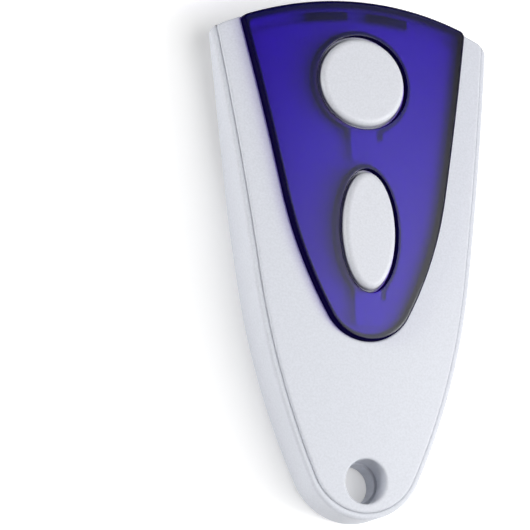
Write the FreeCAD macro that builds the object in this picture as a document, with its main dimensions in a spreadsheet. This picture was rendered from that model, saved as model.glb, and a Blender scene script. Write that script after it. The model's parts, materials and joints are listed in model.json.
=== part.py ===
"""Garage door remote: a pocket transmitter with two buttons, in millimetres.

The remote lies on its back. +Z points out of the face, +Y towards the button end,
and the key ring hole is near -Y. The origin is under the middle of the outline.
"""
import FreeCAD
import Part

import math
import os
import re

import Sketcher

Vector = FreeCAD.Vector

# Driving dimensions

DIMENSIONS = [
    # Outline seen from the front
    ("end_reach", 38.0, "centre to the rounded button end"),
    ("end_radius", 52.2, "arc of the button end"),
    ("tip_reach", 38.0, "centre to the key ring end"),
    ("tip_radius", 9.25, "arc of the key ring end"),
    ("flank_radius", 106.0, "arc that joins the straight side to the tip"),
    ("side_distance", 17.22, "square distance from the centre to the straight side"),
    ("side_taper", 7.9, "degrees between the straight side and the centre line"),
    ("corner_radius", 1.5, "corner between side and button end"),
    ("face_corner", 0.9, "the same corner of the white face"),
    # Side view
    ("face_height", 10.35, "crown of the tinted cover above the back"),
    ("bow_radius", 294.0, "lengthwise curve of the face"),
    ("cross_radius", 111.0, "crosswise curve of the face"),
    ("heel_reach", 4.0, "centre to the end of the flat back"),
    ("heel_radius", 30.0, "curve from the flat back to the sloping back"),
    ("back_slope", 6.0, "degrees that the back rises towards the button end"),
    ("clear_span", 45.0, "half length of the cutting profiles"),
    ("clear_height", 14.0, "height that cuts and prisms run to"),
    ("clear_turn", 30.0, "degrees that the face's cutting profile turns through"),
    # Shells
    ("cover_rise", 1.1, "tinted cover above the white face"),
    ("face_step", 0.3, "white face above the rim of the rear shell"),
    ("rim_width", 0.9, "rim of the rear shell round the white face"),
    ("wall", 1.6, "side wall of the rear shell below the ledge"),
    ("back_wall", 1.2, "back wall of the rear shell"),
    ("ledge_height", 4.4, "seat of the front frame in the rear shell"),
    ("skirt", 1.2, "side wall of the front frame"),
    ("plate", 1.2, "thickness of the white face"),
    ("back_edge", 1.2, "rounding of the back edge"),
    ("rim_edge", 0.45, "rounding of the rim"),
    ("face_edge", 0.25, "rounding of the white face"),
    ("face_gap", 0.03, "gap between the rim and the white face"),
    ("seam", 0.06, "gap between pieces that drop into each other"),
    # Tinted cover
    ("window_reach", 12.6, "centre to the lower end of the cover"),
    ("window_radius", 7.1, "arc of the lower end of the cover"),
    ("window_flank", 60.0, "arc that joins the cover's side to its lower end"),
    ("window_distance", 10.85, "square distance from the centre to the cover's side"),
    ("window_taper", 11.0, "degrees between the cover's side and the centre line"),
    ("window_corner", 1.0, "upper corner of the cover"),
    ("cover", 1.1, "thickness of the tinted cover"),
    ("cover_wall", 1.0, "wall round the edge of the cover"),
    ("cover_edge", 0.5, "rounding of the cover's edge"),
    ("floor_drop", 2.4, "cover crown to the white floor under the cover"),
    ("floor", 0.6, "thickness of the white floor"),
    ("floor_wall", 0.8, "white wall between face and floor"),
    ("hole_edge", 0.2, "rounding of the button holes"),
    ("tab_offset", 1.5, "centre line to a snap tab"),
    ("tab_width", 6.5, "width of a snap tab"),
    ("tab_thick", 1.2, "thickness of a snap tab"),
    ("tab_drop", 2.6, "cover crown to the lower end of a snap tab"),
    # Buttons
    ("round_place", 25.6, "centre of the round button"),
    ("round_radius", 6.6, "round button cap"),
    ("oval_place", 3.5, "centre of the oval button"),
    ("oval_long", 8.62, "half length of the oval button cap"),
    ("oval_wide", 4.1, "half width of the oval button cap"),
    ("round_rise", 0.4, "round button above the cover"),
    ("oval_rise", 0.6, "oval button above the cover"),
    ("button_gap", 0.45, "gap between cap and hole"),
    ("button_edge", 0.9, "rounding of the caps"),
    ("cap_skin", 1.0, "thickness of the top of a cap"),
    ("cap_wall", 1.1, "side wall of a cap"),
    ("flange", 0.6, "thickness of flange and arm"),
    ("flange_lip", 0.2, "flange beyond the hole"),
    ("flange_gap", 0.08, "cover to flange at rest"),
    ("collar_gap", 0.35, "hole to the collar under the cover"),
    ("collar", 0.5, "thickness of the collar"),
    ("collar_lift", 0.15, "collar above the floor"),
    ("foot_length", 1.5, "straight end of a collar, along the arm"),
    ("round_opening", 2.5, "half opening of the round collar"),
    ("oval_opening", 2.25, "half opening of the oval collar"),
    ("round_pivot", 14.8, "root of the round button's arm"),
    ("oval_pivot", -9.3, "root of the oval button's arm"),
    ("arm_half", 2.0, "half width of an arm"),
    ("tab_reach", 1.0, "arm beyond its peg"),
    ("peg_radius", 0.45, "peg that holds an arm"),
    ("peg_gap", 0.08, "peg to its hole"),
    ("boss_radius", 1.1, "boss under a cap that meets the switch"),
    # Switches
    ("board_base", 3.8, "lower face of the circuit board"),
    ("board", 0.8, "thickness of the circuit board"),
    ("board_gap", 0.75, "board to the side wall"),
    ("board_top_end", 29.2, "centre to the upper end of the board"),
    ("board_low_end", 22.5, "centre to the lower end of the board"),
    ("board_corner", 2.5, "upper corner of the board"),
    ("switch_width", 4.2, "side of a switch"),
    ("switch_base", 0.85, "height of a switch base"),
    ("switch_frame", 0.15, "metal plate on a switch"),
    ("plunger_radius", 0.95, "switch plunger"),
    ("plunger_gap", 0.06, "plunger to the plate's hole"),
    ("plunger_rise", 0.35, "plunger above the plate"),
    ("plunger_foot", 0.2, "disc of the plunger inside the base"),
    ("plunger_lip", 0.35, "that disc beyond the plunger's stem"),
    ("plunger_room", 0.34, "room for the plunger's travel"),
    ("dome", 0.1, "snap dome under the plunger"),
    ("touch_gap", 0.06, "boss to plunger at rest"),
    ("access_radius", 3.3, "hole in the floor over a switch"),
    # Key ring hole
    ("key_place", -32.57, "centre of the key ring hole"),
    ("key_front_radius", 3.2, "hole in the front frame"),
    ("key_radius", 2.9, "hole in the rear shell"),
    ("key_edge", 0.25, "rounding of the front rim"),
    ("key_back_edge", 1.0, "rounding of the rear rim"),
    ("key_wall", 1.35, "wall round the key ring hole"),
    ("spigot", 0.5, "ring of the front frame that sits in the rear shell"),
    ("spigot_depth", 0.6, "depth of that ring"),
    # Battery and its cover
    ("cell_place", -9.0, "centre of the coin cell"),
    ("cell_radius", 10.0, "coin cell"),
    ("cell_height", 1.6, "coin cell"),
    ("cell_lift", 0.25, "coin cell above the battery cover"),
    ("can_edge", 0.4, "rounding of the cell can"),
    ("cap_radius", 8.7, "negative cap of the cell"),
    ("cap_rise", 0.3, "negative cap above the can"),
    ("gasket", 0.35, "width of the cell gasket"),
    ("contact", 0.2, "thickness of the contact springs"),
    ("leaf_width", 4.0, "width of the contact springs"),
    ("door_radius", 11.5, "battery cover"),
    ("door_gap", 0.1, "battery cover to its opening"),
    ("door_edge", 0.2, "rounding of the battery cover"),
    ("ring_radius", 10.85, "ring inside the battery cover"),
    ("ring", 0.5, "thickness of that ring"),
    ("ring_height", 0.75, "height of that ring"),
    ("lug_reach", 12.5, "centre of the battery cover to the end of a lug"),
    ("lug_half", 2.6, "half width of a lug"),
    ("lug_lift", 0.12, "lug above the back wall"),
    ("notch_gap", 0.25, "lug to its notch"),
    ("notch_turn", 60.0, "degrees from locked lug to notch"),
    ("slot_length", 12.0, "coin slot in the battery cover"),
    ("slot_width", 2.0, "coin slot in the battery cover"),
    ("slot_depth", 0.6, "coin slot in the battery cover"),
    # Housing screw and board posts
    ("screw_place", 14.8, "centre of the housing screw"),
    ("screw_radius", 0.85, "screw shank"),
    ("screw_clear", 1.1, "hole for the shank"),
    ("screw_pilot", 0.9, "hole that the screw cuts into"),
    ("head_radius", 1.75, "screw head"),
    ("head_height", 1.1, "screw head"),
    ("head_seat", 2.5, "height of the head's seat"),
    ("head_gap", 0.2, "screw head to its well"),
    ("head_edge", 0.35, "rounding of the screw head"),
    ("cross_length", 2.0, "cross recess in the head"),
    ("cross_width", 0.4, "cross recess in the head"),
    ("cross_depth", 0.5, "cross recess in the head"),
    ("screw_end", 6.4, "height of the screw's point"),
    ("screw_tip_gap", 0.1, "room beyond the screw's point"),
    ("boss_wall", 1.2, "wall of the screw bosses"),
    ("post_radius", 0.9, "board post"),
    ("post_side", 13.0, "centre line to an upper post"),
    ("post_place", 21.5, "centre to the upper posts"),
    ("low_post_side", 9.4, "centre line to a lower post"),
    ("low_post_place", -20.0, "centre to the lower posts"),
    # Parts on the board
    ("chip_length", 8.7, "encoder chip"),
    ("chip_width", 3.9, "encoder chip"),
    ("chip_height", 1.05, "encoder chip"),
    ("pin_count", 7, "pins along one side of the encoder chip"),
    ("pin_pitch", 1.27, "encoder chip"),
    ("pin_width", 0.4, "encoder chip"),
    ("pin_reach", 1.0, "encoder chip"),
    ("pin_thick", 0.12, "chip above the board, and half the height of a pin"),
    ("can_side", 5.0, "resonator can"),
    ("can_height", 1.0, "resonator can"),
    ("chip_place_x", 9.3, "encoder chip"),
    ("chip_place_y", 13.5, "encoder chip"),
    ("resonator_x", -9.5, "resonator can"),
    ("resonator_y", 14.0, "resonator can"),
    ("small_length", 2.0, "chip resistors and capacitors"),
    ("small_width", 1.25, "chip resistors and capacitors"),
    ("small_height", 0.6, "chip resistors and capacitors"),
    ("small_pitch", 2.6, "step in a row of small parts"),
    ("small_count", 4, "small parts in a row"),
    ("row_side", 10.6, "centre line to a row of small parts"),
    ("row_place", -1.0, "lower end of the rows of small parts"),
    ("lamp_length", 3.2, "indicator lamp"),
    ("lamp_width", 1.6, "indicator lamp"),
    ("lamp_height", 0.35, "base of the indicator lamp"),
    ("lamp_lens", 0.45, "radius of the lamp's lens"),
    ("lamp_x", -10.0, "indicator lamp"),
    ("lamp_y", 21.5, "indicator lamp"),
    ("loop_inset", 0.4, "board edge to the antenna loop"),
    ("loop_width", 0.8, "antenna loop"),
    ("loop_thick", 0.12, "antenna loop"),
    ("loop_low", -14.0, "lower end of the antenna loop"),
]

doc = FreeCAD.newDocument("remote")
sheet = doc.addObject("Spreadsheet::Sheet", "sizes")
for row, (alias, amount, meaning) in enumerate(DIMENSIONS, start=1):
    sheet.set("A%d" % row, alias)
    sheet.set("B%d" % row, str(amount))
    sheet.set("C%d" % row, meaning)
    sheet.setAlias("B%d" % row, alias)
doc.recompute()


def bound(expression):
    """The expression with every dimension's name pointed at the sheet."""
    return re.sub(r"[a-z_]+", lambda word: "sizes." + word.group(0), str(expression))


def value(expression):
    """What the expression comes to with the sheet's present values."""
    return float(sheet.evalExpression(bound(expression)))


# Heights that several pieces share

BOARD_TOP = "board_base + board"
PLUNGER_TOP = BOARD_TOP + " + switch_base + switch_frame + plunger_rise"
CELL_LOW = "back_wall + cell_lift"
CELL_TOP = CELL_LOW + " + cell_height"

# Sketches and their features


def new_body(name):
    return doc.addObject("PartDesign::Body", name)


def new_sketch(body, role, name, lift=None):
    """Sketch on one of the body's own planes, or parallel to it at a height."""
    plane = [item for item in body.Origin.OriginFeatures if item.Role == role][0]
    sketch = body.newObject("Sketcher::SketchObject", name)
    sketch.AttachmentSupport = [(plane, "")]
    sketch.MapMode = "FlatFace"
    if lift is not None:
        sketch.setExpression("AttachmentOffset.Base.z", bound(lift))
    return sketch


def dimension(sketch, kind, places, expression, degrees=False):
    """Add a dimension to the sketch and bind it to the sheet."""
    amount = math.radians(value(expression)) if degrees else value(expression)
    index = sketch.addConstraint(Sketcher.Constraint(kind, *places, amount))
    sketch.setExpression("Constraints[%d]" % index, bound(expression))


def pad(body, sketch, length, name):
    feature = body.newObject("PartDesign::Pad", name)
    feature.Profile = sketch
    feature.setExpression("Length", bound(length))
    doc.recompute()
    return feature


def pocket_through(body, sketch, name):
    """Cut the sketch's area out of the body on both sides of its plane."""
    before = body.Tip.Shape.Volume
    feature = body.newObject("PartDesign::Pocket", name)
    feature.Profile = sketch
    feature.Midplane = True
    feature.setExpression("Length", bound("clear_span * 2"))
    doc.recompute()
    if feature.Shape.Volume > before - 1e-6:
        raise RuntimeError("%s cuts nothing" % name)
    return feature


def fillet(body, radius, picked, name):
    """Round the edges of the body's last feature that the test picks."""
    last = body.Tip
    edges = ["Edge%d" % (i + 1) for i, edge in enumerate(last.Shape.Edges) if picked(edge)]
    if not edges:
        raise RuntimeError("%s finds no edge" % name)
    feature = body.newObject("PartDesign::Fillet", name)
    feature.Base = (last, edges)
    feature.setExpression("Radius", bound(radius))
    doc.recompute()
    return feature


# Outline of the remote and of its tinted cover: straight sides that taper,
# a flank arc on each, a tip arc and the arc of the button end.

REMOTE = {
    "reach": "tip_reach",
    "tip": "tip_radius",
    "flank": "flank_radius",
    "distance": "side_distance",
    "taper": "side_taper",
    "corner": "corner_radius",
}
WINDOW = {
    "reach": "window_reach",
    "tip": "window_radius",
    "flank": "window_flank",
    "distance": "window_distance",
    "taper": "window_taper",
    "corner": "window_corner",
}


def tangent_centre(normal, along, offset, anchor, distance, sign):
    """Point at an offset from the origin's parallel to a side and at a distance from the anchor."""
    base = normal * offset - anchor
    part = base.dot(along)
    root = math.sqrt(part * part - base.dot(base) + distance * distance)
    return normal * offset + along * (sign * root - part)


def turn_of(centre, point):
    return math.atan2(point.y - centre.y, point.x - centre.x)


def arc(centre, radius, first, last):
    return Part.ArcOfCircle(Part.Circle(centre, Vector(0, 0, 1), radius), first, last)


def mirrored(point):
    return Vector(-point.x, point.y, 0)


def draw_outline(sketch, form, inset="0", end_inset="0", corner_size=None):
    """Outline of a form, drawn in by the inset at its sides and by the end inset at its button end."""
    corner_size = corner_size or form["corner"]
    lengths = {
        "tip": "%s - (%s)" % (form["tip"], inset),
        "flank": "%s - (%s)" % (form["flank"], inset),
        "distance": "%s - (%s)" % (form["distance"], inset),
        "end": "end_radius - (%s)" % end_inset,
        "tip_centre": "%s - %s" % (form["reach"], form["tip"]),
        "end_centre": "end_radius - end_reach",
    }
    tip, flank, distance, end = (value(lengths[key]) for key in ("tip", "flank", "distance", "end"))
    corner = value(corner_size)
    taper = math.radians(value(form["taper"]))
    normal = Vector(math.cos(taper), -math.sin(taper), 0)
    along = Vector(math.sin(taper), math.cos(taper), 0)
    tip_centre = Vector(0, -value(lengths["tip_centre"]), 0)
    end_centre = Vector(0, -value(lengths["end_centre"]), 0)
    flank_centre = tangent_centre(normal, along, distance - flank, tip_centre, flank - tip, 1)
    corner_centre = tangent_centre(normal, along, distance - corner, end_centre, end - corner, 1)
    low = flank_centre + (tip_centre - flank_centre).normalize() * flank
    side_low = flank_centre + normal * flank
    side_top = corner_centre + normal * corner
    top = corner_centre + (corner_centre - end_centre).normalize() * corner

    def arc_between(centre, radius, first, last):
        start, stop = turn_of(centre, first), turn_of(centre, last)
        while stop < start:
            stop += 2 * math.pi
        return arc(centre, radius, start, stop)

    items = [
        arc_between(tip_centre, tip, mirrored(low), low),
        arc_between(flank_centre, flank, low, side_low),
        Part.LineSegment(side_low, side_top),
        arc_between(corner_centre, corner, side_top, top),
        arc_between(end_centre, end, top, mirrored(top)),
        arc_between(mirrored(corner_centre), corner, mirrored(top), mirrored(side_top)),
        Part.LineSegment(mirrored(side_low), mirrored(side_top)),
        arc_between(mirrored(flank_centre), flank, mirrored(side_low), mirrored(low)),
    ]
    first = len(sketch.Geometry)
    sketch.addGeometry(items, False)
    tip_arc, flank_arc, side, corner_arc, end_arc, far_corner, far_side, far_flank = range(first, first + 8)
    joints = [
        (tip_arc, 2, flank_arc, 1),
        (flank_arc, 2, side, 1),
        (side, 2, corner_arc, 1),
        (corner_arc, 2, end_arc, 1),
        (end_arc, 2, far_corner, 1),
        (far_corner, 2, far_side, 2),
        (far_side, 1, far_flank, 1),
        (far_flank, 2, tip_arc, 1),
    ]
    for places in joints:
        sketch.addConstraint(Sketcher.Constraint("Tangent", *places))
    for centre in (tip_arc, end_arc):
        sketch.addConstraint(Sketcher.Constraint("PointOnObject", centre, 3, -2))
    sketch.addConstraint(Sketcher.Constraint("Equal", flank_arc, far_flank))
    sketch.addConstraint(Sketcher.Constraint("Equal", corner_arc, far_corner))
    dimension(sketch, "Radius", (tip_arc,), lengths["tip"])
    dimension(sketch, "Radius", (flank_arc,), lengths["flank"])
    dimension(sketch, "Radius", (corner_arc,), corner_size)
    dimension(sketch, "Radius", (end_arc,), lengths["end"])
    dimension(sketch, "DistanceY", (tip_arc, 3, -1, 1), lengths["tip_centre"])
    dimension(sketch, "DistanceY", (end_arc, 3, -1, 1), lengths["end_centre"])
    dimension(sketch, "Distance", (-1, 1, side), lengths["distance"])
    dimension(sketch, "Distance", (-1, 1, far_side), lengths["distance"])
    dimension(sketch, "Angle", (side,), "90 - %s" % form["taper"], degrees=True)
    dimension(sketch, "Angle", (far_side,), "90 + %s" % form["taper"], degrees=True)


def draw_circle(sketch, radius, across, up):
    """Circle at a place across and up from the sketch's origin."""
    circle = Part.Circle(Vector(value(across), value(up), 0), Vector(0, 0, 1), value(radius))
    index = sketch.addGeometry(circle, False)
    dimension(sketch, "Radius", (index,), radius)
    dimension(sketch, "DistanceX", (-1, 1, index, 3), across)
    dimension(sketch, "DistanceY", (-1, 1, index, 3), up)


def draw_face_profile(sketch, drop):
    """Section of all that stands above the domed surface that lies a drop below the cover's crown.

    A construction line, the sketch's first axis, is what the section turns about.
    """
    reach, height = value("clear_span"), value("clear_height * 2")
    radius = value("cross_radius - (%s)" % drop)
    centre = Vector(0, value("face_height - cross_radius"), 0)
    axis_height = value("face_height - bow_radius")
    half = math.acos(reach / radius)
    right = centre + Vector(math.cos(half), math.sin(half), 0) * radius
    left = mirrored(right)
    items = [
        arc(centre, radius, half, math.pi - half),
        Part.LineSegment(left, Vector(-reach, height, 0)),
        Part.LineSegment(Vector(-reach, height, 0), Vector(reach, height, 0)),
        Part.LineSegment(Vector(reach, height, 0), right),
    ]
    sketch.addGeometry(items, False)
    for places in ((0, 2, 1, 1), (1, 2, 2, 1), (2, 2, 3, 1), (3, 2, 0, 1)):
        sketch.addConstraint(Sketcher.Constraint("Coincident", *places))
    for kind, line in (("Vertical", 1), ("Horizontal", 2), ("Vertical", 3)):
        sketch.addConstraint(Sketcher.Constraint(kind, line))
    sketch.addConstraint(Sketcher.Constraint("PointOnObject", 0, 3, -2))
    dimension(sketch, "Radius", (0,), "cross_radius - (%s)" % drop)
    dimension(sketch, "DistanceY", (0, 3, -1, 1), "cross_radius - face_height")
    dimension(sketch, "DistanceX", (-1, 1, 2, 2), "clear_span")
    dimension(sketch, "DistanceX", (2, 1, -1, 1), "clear_span")
    dimension(sketch, "DistanceY", (-1, 1, 2, 2), "clear_height * 2")
    ends = (Vector(-reach, axis_height, 0), Vector(reach, axis_height, 0))
    axis = sketch.addGeometry(Part.LineSegment(*ends), True)
    sketch.addConstraint(Sketcher.Constraint("Horizontal", axis))
    dimension(sketch, "DistanceY", (axis, 1, -1, 1), "bow_radius - face_height")
    dimension(sketch, "DistanceX", (axis, 1, -1, 1), "clear_span")
    dimension(sketch, "DistanceX", (-1, 1, axis, 2), "clear_span")


def draw_back_profile(sketch, lift, under):
    """Flat back, heel curve and slope, a lift above the outer back; closed below or above."""
    reach, edge = value("clear_span"), value("clear_height")
    if under:
        edge = -edge
    heel = Vector(value("heel_reach"), value("heel_radius"), 0)
    radius = value("heel_radius - (%s)" % lift)
    slope = math.radians(value("back_slope"))
    low = heel + Vector(0, -radius, 0)
    bend = heel + Vector(math.sin(slope), -math.cos(slope), 0) * radius
    rise = bend + Vector(1, math.tan(slope), 0) * (reach - bend.x)
    start = Vector(-reach, low.y, 0)
    items = [
        Part.LineSegment(start, low),
        arc(heel, radius, -math.pi / 2, slope - math.pi / 2),
        Part.LineSegment(bend, rise),
        Part.LineSegment(rise, Vector(reach, edge, 0)),
        Part.LineSegment(Vector(reach, edge, 0), Vector(-reach, edge, 0)),
        Part.LineSegment(Vector(-reach, edge, 0), start),
    ]
    sketch.addGeometry(items, False)
    for places in ((0, 2, 1, 1), (1, 2, 2, 1)):
        sketch.addConstraint(Sketcher.Constraint("Tangent", *places))
    for places in ((2, 2, 3, 1), (3, 2, 4, 1), (4, 2, 5, 1), (5, 2, 0, 1)):
        sketch.addConstraint(Sketcher.Constraint("Coincident", *places))
    for kind, line in (("Horizontal", 0), ("Vertical", 3), ("Horizontal", 4), ("Vertical", 5)):
        sketch.addConstraint(Sketcher.Constraint(kind, line))
    dimension(sketch, "DistanceX", (-1, 1, 1, 3), "heel_reach")
    dimension(sketch, "DistanceY", (-1, 1, 1, 3), "heel_radius")
    dimension(sketch, "Radius", (1,), "heel_radius - (%s)" % lift)
    dimension(sketch, "Angle", (2,), "back_slope", degrees=True)
    dimension(sketch, "DistanceX", (-1, 1, 4, 1), "clear_span")
    dimension(sketch, "DistanceX", (4, 2, -1, 1), "clear_span")
    dimension(sketch, "DistanceY", (4, 1, -1, 1) if under else (-1, 1, 4, 1), "clear_height")


def outline_body(name, form, inset="0", end_inset="0", low="0", high="clear_height", corner=None):
    """Prism of an outline between two heights."""
    body = new_body(name)
    sketch = new_sketch(body, "XY_Plane", name + "_outline", low)
    draw_outline(sketch, form, inset, end_inset, corner)
    pad(body, sketch, "%s - (%s)" % (high, low), name + "_pad")
    return body


def trim_face(body, drop):
    """Give the body the domed top that lies a drop below the cover's crown."""
    before = body.Tip.Shape.Volume
    sketch = new_sketch(body, "XZ_Plane", body.Name + "_crown")
    draw_face_profile(sketch, drop)
    feature = body.newObject("PartDesign::Groove", body.Name + "_crown_cut")
    feature.Profile = sketch
    feature.ReferenceAxis = (sketch, ["Axis0"])
    feature.Midplane = True
    feature.setExpression("Angle", bound("clear_turn"))
    doc.recompute()
    if feature.Shape.Volume > before - 1e-6:
        raise RuntimeError("%s cuts nothing" % feature.Name)


# Solids and booleans that shape the shells


def solid(kind, name, sizes, place=("0", "0", "0"), turn=None):
    """A primitive whose sizes and place follow the sheet."""
    item = doc.addObject("Part::" + kind, name)
    for key, expression in sizes.items():
        item.setExpression(key, bound(expression))
    if turn is not None:
        item.Placement = FreeCAD.Placement(Vector(0, 0, 0), FreeCAD.Rotation(*turn))
    for axis, expression in zip("xyz", place):
        item.setExpression("Placement.Base." + axis, bound(expression))
    return item


def drum(name, radius, low, high, across="0", up="0"):
    """Upright cylinder between two heights."""
    sizes = {"Radius": radius, "Height": "%s - (%s)" % (high, low)}
    return solid("Cylinder", name, sizes, (across, up, low))


def block(name, left, right, front, rear, low, high):
    """Box between two planes each way."""
    sizes = {
        "Length": "%s - (%s)" % (right, left),
        "Width": "%s - (%s)" % (rear, front),
        "Height": "%s - (%s)" % (high, low),
    }
    return solid("Box", name, sizes, (left, front, low))


def oval(name, longer, wider, low, high, up):
    """Upright elliptic prism, long along the remote."""
    sizes = {"MajorRadius": longer, "MinorRadius": wider}
    curve = solid("Ellipse", name + "_curve", sizes, ("0", up, low), (Vector(0, 0, 1), 90))
    prism = doc.addObject("Part::Extrusion", name)
    prism.Base = curve
    prism.DirMode = "Custom"
    prism.Dir = Vector(0, 0, 1)
    prism.Solid = True
    prism.setExpression("LengthFwd", bound("%s - (%s)" % (high, low)))
    return prism


def fuse(name, *items):
    result = doc.addObject("Part::MultiFuse", name)
    result.Shapes = list(items)
    return result


def common(name, *items):
    result = doc.addObject("Part::MultiCommon", name)
    result.Shapes = list(items)
    return result


def cut(name, base, *tools):
    result = doc.addObject("Part::Cut", name)
    result.Base = base
    result.Tool = tools[0] if len(tools) == 1 else fuse(name + "_tools", *tools)
    return result


CROWNS = {}


def crown(drop):
    """All that lies below the domed surface at a drop under the cover's crown.

    The dome is the outside of a torus whose axis runs across the remote, far below it.
    """
    if drop not in CROWNS:
        name = "crown_%d" % len(CROWNS)
        sizes = {"Radius1": "bow_radius - cross_radius", "Radius2": "cross_radius - (%s)" % drop}
        place = ("0", "0", "face_height - bow_radius")
        CROWNS[drop] = solid("Torus", name, sizes, place, (Vector(0, 1, 0), 90))
    return CROWNS[drop]


def between(name, item, upper, lower):
    """The slice of an item between two domed surfaces, given by their drops."""
    return cut(name, common(name + "_top", item, crown(upper)), crown(lower))


def rounded(name, item, radius, picked):
    """Round the edges of a boolean's result that the test picks."""
    doc.recompute()
    amount = value(radius)
    result = doc.addObject("Part::Fillet", name)
    result.Base = item
    result.Edges = [(i + 1, amount, amount) for i, edge in enumerate(item.Shape.Edges) if picked(edge)]
    doc.recompute()
    return result


def faces_toward(shape, direction):
    """Faces whose middle looks mostly along a direction."""
    found = []
    for face in shape.Faces:
        low_u, high_u, low_v, high_v = face.ParameterRange
        if face.normalAt((low_u + high_u) / 2, (low_v + high_v) / 2).dot(direction) > 0.8:
            found.append(face)
    return found


def on_face(face, edge):
    """Whether an edge lies wholly on a face."""
    first, length = edge.FirstParameter, edge.LastParameter - edge.FirstParameter
    points = [edge.valueAt(first + length * share) for share in (0, 0.25, 0.5, 0.75, 1)]
    return all(face.distToShape(Part.Vertex(point))[0] < 1e-4 for point in points)


def on_any(faces):
    """Test that picks the edges that lie on any of the faces."""
    return lambda edge: any(on_face(face, edge) for face in faces)


# Rear shell: a tub that slopes towards the button end, with a ledge, bosses,
# the key ring hole and the opening of the battery cover.


def make_rear_form():
    """Outer form of the rear shell, with its rounded edges and the key ring hole."""
    body = outline_body("rear_form", REMOTE)
    trim_face(body, "cover_rise + face_step")
    profile = new_sketch(body, "YZ_Plane", "rear_form_back")
    draw_back_profile(profile, "0", under=True)
    pocket_through(body, profile, "rear_form_back_cut")
    backs = faces_toward(body.Tip.Shape, Vector(0, 0, -1))

    def on_one_back(edge):
        return sum(on_face(face, edge) for face in backs) == 1

    fillet(body, "back_edge", on_one_back, "rear_form_back_edge")
    tops = faces_toward(body.Tip.Shape, Vector(0, 0, 1))
    fillet(body, "rim_edge", on_any(tops), "rear_form_rim_edge")
    hole = new_sketch(body, "XY_Plane", "rear_form_key")
    draw_circle(hole, "key_radius", "0", "key_place")
    pocket_through(body, hole, "rear_form_key_cut")
    fillet(body, "key_back_edge", lambda edge: is_ring(edge, "key_radius", "0"), "rear_form_key_edge")
    return body


def is_ring(edge, radius, height):
    """Whether an edge is a whole circle of a radius at a height."""
    curve = edge.Curve
    if not isinstance(curve, Part.Circle):
        return False
    return abs(curve.Radius - value(radius)) < 1e-4 and abs(curve.Center.z - value(height)) < 1e-3


def make_rear_shell(form):
    inner_back = new_body("rear_inner_back")
    profile = new_sketch(inner_back, "YZ_Plane", "rear_inner_back_profile")
    draw_back_profile(profile, "back_wall", under=False)
    slab = pad(inner_back, profile, "clear_span * 2", "rear_inner_back_pad")
    slab.Midplane = True
    room = outline_body("rear_room", REMOTE, "wall", "wall", "0", "ledge_height")
    cavity = common("rear_cavity", room, inner_back)
    recess = outline_body("rear_recess", REMOTE, "rim_width", "-1", "ledge_height", "clear_height")
    root = "back_wall / 2"
    key_boss = drum("rear_key_boss", "key_radius + key_wall", root, "ledge_height", up="key_place")
    boss_radius = "head_radius + head_gap + boss_wall"
    screw_boss = drum("rear_screw_boss", boss_radius, root, "board_base", up="screw_place")
    posts = []
    for name, across, up in (("up", "post_side", "post_place"), ("low", "low_post_side", "low_post_place")):
        for side in ("", "-"):
            label = "post_" + name + side
            posts.append(drum(label, "post_radius", root, "board_base", side + across, up))
    bosses = common("rear_bosses", fuse("rear_boss_group", key_boss, screw_boss, *posts), form)
    walls = fuse("rear_walls", cut("rear_tub", form, cavity, recess), bosses)
    socket_radius = "key_front_radius + spigot + seam"
    socket_low = "ledge_height - spigot_depth - seam"
    socket = drum("spigot_socket", socket_radius, socket_low, "clear_height", up="key_place")
    well = drum("screw_well", "head_radius + head_gap", "-1", "head_seat", up="screw_place")
    shank = drum("screw_passage", "screw_clear", "-1", "ledge_height", up="screw_place")
    opening = drum("door_opening", "door_radius + door_gap", "-1", "ledge_height", up="cell_place")
    return cut("rear_shell", walls, socket, well, shank, opening, lug_notches())


def lug_notches():
    """Two notches beside the battery cover's opening, where its lugs drop in."""
    reach, half = "lug_reach + notch_gap", "lug_half + notch_gap"
    bar = block("notch_bar", "-(%s)" % reach, reach, "-(%s)" % half, half, "-1", "ledge_height")
    ends = common("notch_ends", bar, drum("notch_reach", reach, "-1", "ledge_height"))
    ends.setExpression("Placement.Base.y", bound("cell_place"))
    ends.Placement.Rotation = FreeCAD.Rotation(Vector(0, 0, 1), -value("notch_turn"))
    ends.setExpression("Placement.Rotation.Angle", bound("-notch_turn"))
    return ends


# Front frame: the white face with the recess and floor for the tinted cover.


def make_front_form():
    """Outer form of the front frame, with its rounded edges and the key ring hole."""
    inset = "rim_width + face_gap"
    body = outline_body("front_form", REMOTE, inset, "0", "ledge_height", corner="face_corner")
    trim_face(body, "cover_rise")
    tops = faces_toward(body.Tip.Shape, Vector(0, 0, 1))
    fillet(body, "face_edge", on_any(tops), "front_form_face_edge")
    hole = new_sketch(body, "XY_Plane", "front_form_key")
    draw_circle(hole, "key_front_radius", "0", "key_place")
    pocket_through(body, hole, "front_form_key_cut")
    tops = faces_toward(body.Tip.Shape, Vector(0, 0, 1))

    def key_rim(edge):
        middle = edge.CenterOfMass
        near = math.hypot(middle.x, middle.y - value("key_place")) < value("key_front_radius")
        return near and on_any(tops)(edge)

    fillet(body, "key_edge", key_rim, "front_form_key_edge")
    return body


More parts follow.
